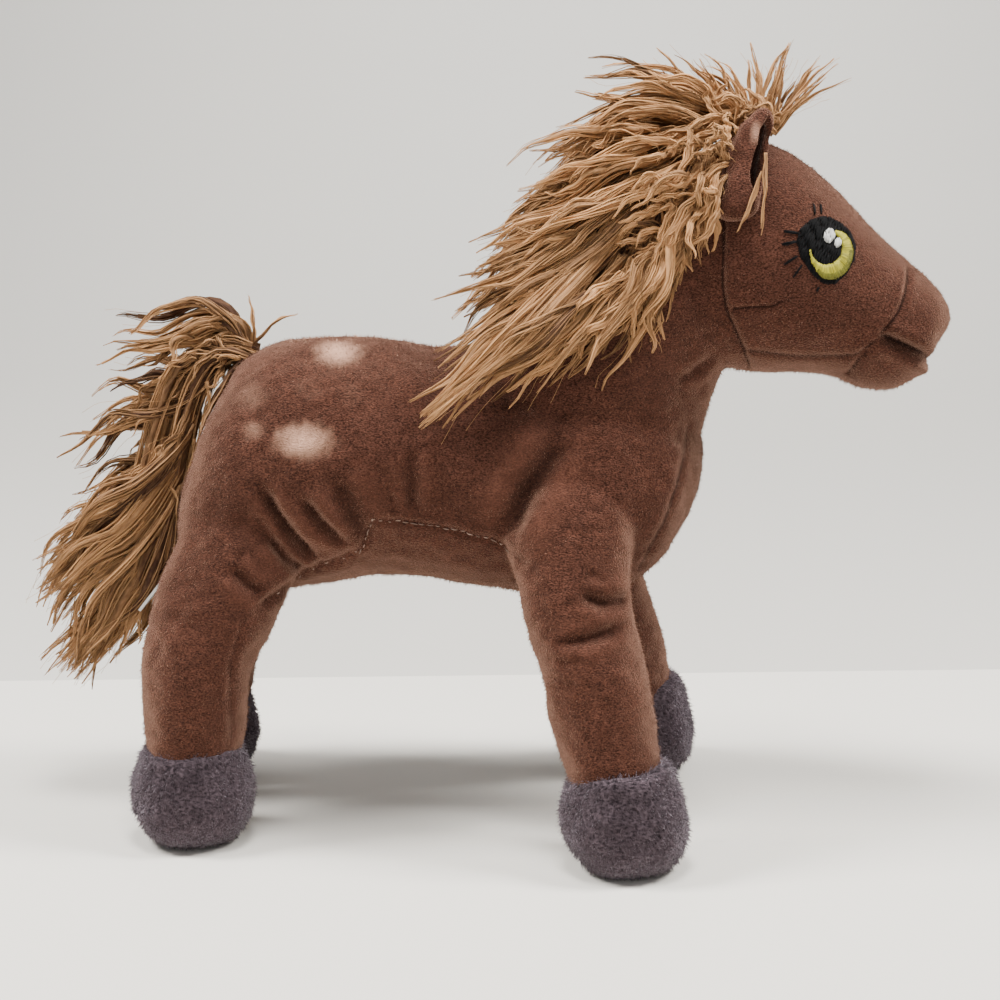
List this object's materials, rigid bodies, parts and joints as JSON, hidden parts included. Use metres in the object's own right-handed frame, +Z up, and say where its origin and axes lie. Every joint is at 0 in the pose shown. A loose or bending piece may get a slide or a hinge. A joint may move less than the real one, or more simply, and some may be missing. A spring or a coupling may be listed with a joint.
{
  "type": "plush horse",
  "caption": "Plush toy horse standing on stuffed legs, with a yarn mane, forelock and tail, floppy ears and embroidered eyes.",
  "frame": {"origin": "on the floor, below the middle of the whole horse's bounding box", "axes": "+X towards the head, +Y towards the horse's left side, +Z up"},
  "size_m": [0.2652, 0.1222, 0.2235],
  "materials": {
    "brown_plush": "short-pile reddish brown plush fabric with a faint mottled nap and paler printed dapples on the rump",
    "grey_plush": "longer-pile purple-grey plush fabric",
    "tan_yarn": "golden tan brushed yarn in tapering locks",
    "stuffing": "white polyester fibre filling, hidden",
    "ear_lining": "darker brown short-pile plush",
    "black_thread": "black satin-stitch embroidery thread",
    "green_thread": "yellow-green satin-stitch embroidery thread",
    "white_thread": "white satin-stitch embroidery thread",
    "label_tape": "off-white woven tape, blank"
  },
  "bodies": {
    "torso": {"torso_cover": "brown_plush", "neck_cover": "brown_plush", "body_stuffing": "stuffing", "mane": "tan_yarn", "sewn_label": "label_tape"},
    "head": {"head_cover": "brown_plush", "nose_cover": "brown_plush", "chin_cover": "brown_plush", "head_stuffing": "stuffing", "forelock": "tan_yarn", "right_eye_surround": "black_thread", "right_eye_iris": "green_thread", "right_eye_large_highlight": "white_thread", "right_eye_small_highlight": "white_thread", "left_eye_surround": "black_thread", "left_eye_iris": "green_thread", "left_eye_large_highlight": "white_thread", "left_eye_small_highlight": "white_thread"},
    "right_ear": {"right_ear": "brown_plush", "right_ear_lining": "ear_lining"},
    "left_ear": {"left_ear": "brown_plush", "left_ear_lining": "ear_lining"},
    "tail": {"tail": "tan_yarn"},
    "right_rear_leg": {"right_rear_leg_cover": "brown_plush", "right_rear_leg_stuffing": "stuffing", "right_rear_hoof": "grey_plush"},
    "left_rear_leg": {"left_rear_leg_cover": "brown_plush", "left_rear_leg_stuffing": "stuffing", "left_rear_hoof": "grey_plush"},
    "right_front_leg": {"right_front_leg_cover": "brown_plush", "right_front_leg_stuffing": "stuffing", "right_front_hoof": "grey_plush"},
    "left_front_leg": {"left_front_leg_cover": "brown_plush", "left_front_leg_stuffing": "stuffing", "left_front_hoof": "grey_plush"}
  },
  "joints": [
    {"name": "head_nod", "type": "hinge", "parent": "torso", "child": "head", "pos_m": [0.06862, 0, 0.16697], "axis": [0, 1, 0], "range_deg": [-8, 8], "stiffness_Nm_per_rad": 1, "springref_deg": -0.34},
    {"name": "right_rear_leg_swing", "type": "hinge", "parent": "torso", "child": "right_rear_leg", "pos_m": [-0.07077, -0.02103, 0.07212], "axis": [0, 1, 0], "range_deg": [-15, 15], "stiffness_Nm_per_rad": 0.8},
    {"name": "left_rear_leg_swing", "type": "hinge", "parent": "torso", "child": "left_rear_leg", "pos_m": [-0.07443, 0.02103, 0.07212], "axis": [0, 1, 0], "range_deg": [-15, 15], "stiffness_Nm_per_rad": 0.8},
    {"name": "right_front_leg_swing", "type": "hinge", "parent": "torso", "child": "right_front_leg", "pos_m": [0.02619, -0.02839, 0.07489], "axis": [0, 1, 0], "range_deg": [-15, 15], "stiffness_Nm_per_rad": 0.8},
    {"name": "left_front_leg_swing", "type": "hinge", "parent": "torso", "child": "left_front_leg", "pos_m": [0.0264, 0.02839, 0.07489], "axis": [0, 1, 0], "range_deg": [-15, 15], "stiffness_Nm_per_rad": 0.8},
    {"name": "right_ear_flop", "type": "hinge", "parent": "head", "child": "right_ear", "pos_m": [0.07534, -0.017, 0.18227], "axis": [-1, 0, 0], "range_deg": [-25, 10], "stiffness_Nm_per_rad": 0.002},
    {"name": "left_ear_flop", "type": "hinge", "parent": "head", "child": "left_ear", "pos_m": [0.07534, 0.017, 0.18227], "axis": [1, 0, 0], "range_deg": [-25, 10], "stiffness_Nm_per_rad": 0.002},
    {"name": "tail_lift", "type": "hinge", "parent": "torso", "child": "tail", "pos_m": [-0.06989, 0, 0.1369], "axis": [0, 1, 0], "range_deg": [0, 35]}
  ]
}
